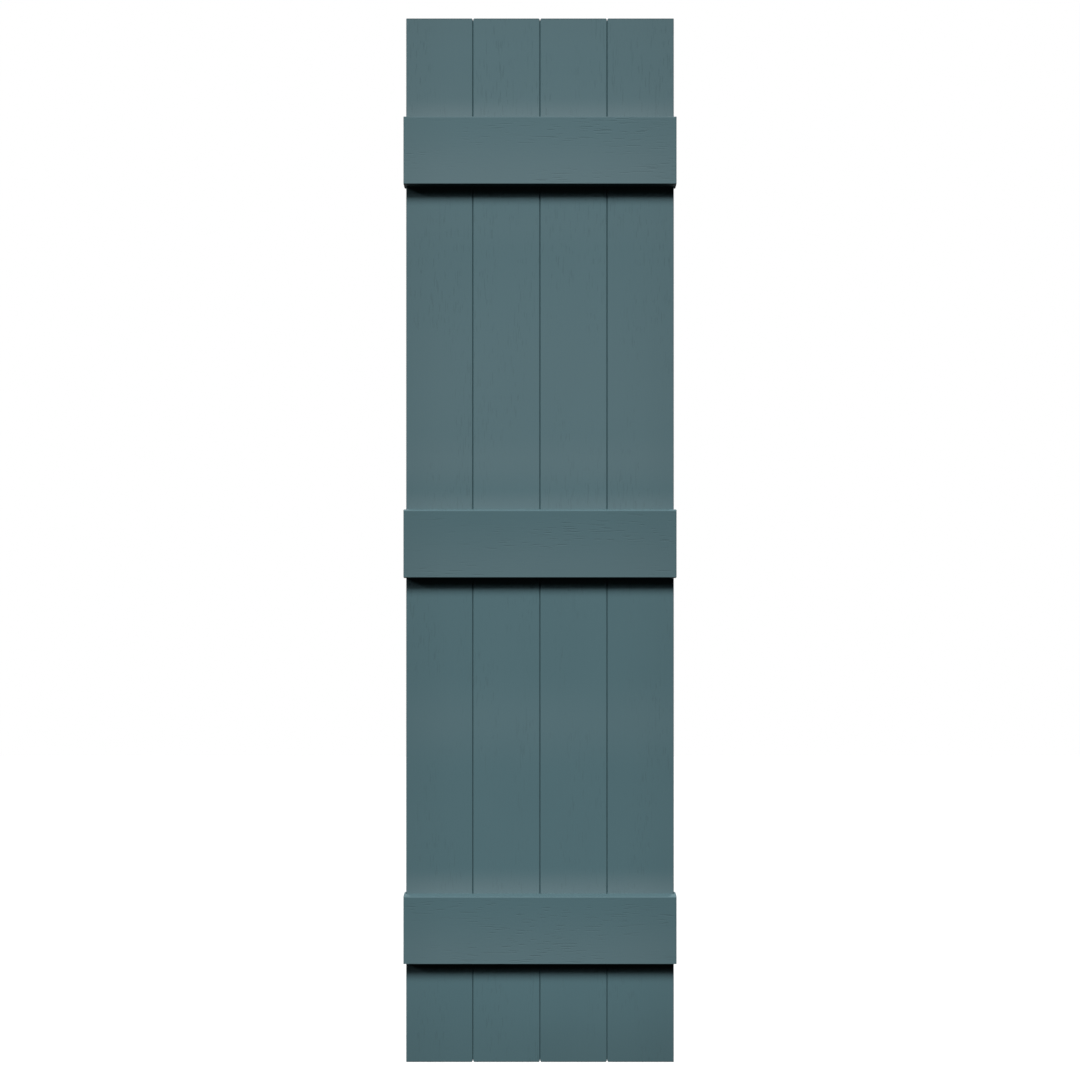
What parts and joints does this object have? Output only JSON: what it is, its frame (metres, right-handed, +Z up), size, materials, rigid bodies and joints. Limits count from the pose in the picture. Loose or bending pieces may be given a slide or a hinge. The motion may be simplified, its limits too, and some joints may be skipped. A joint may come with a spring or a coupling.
{
  "type": "board and batten shutter",
  "caption": "Slate-blue exterior board and batten shutter: upright moulded boards lapped side by side, with raised battens hooked across them.",
  "frame": {"origin": "middle of the back, in the plane of the wall that carries the shutter", "axes": "+Z up along the boards, -Y out from the wall towards the viewer, +X to the right as seen from the front"},
  "size_m": [0.3636, 0.0254, 1.397],
  "materials": {
    "moulded_vinyl": "satin, moulded wood grain",
    "zinc_screw": "zinc plated"
  },
  "bodies": {
    "root": {"left_outer_board": "moulded_vinyl", "left_inner_board": "moulded_vinyl", "right_inner_board": "moulded_vinyl", "right_outer_board": "moulded_vinyl", "top_batten": "moulded_vinyl", "middle_batten": "moulded_vinyl", "bottom_batten": "moulded_vinyl"}
  },
  "joints": []
}
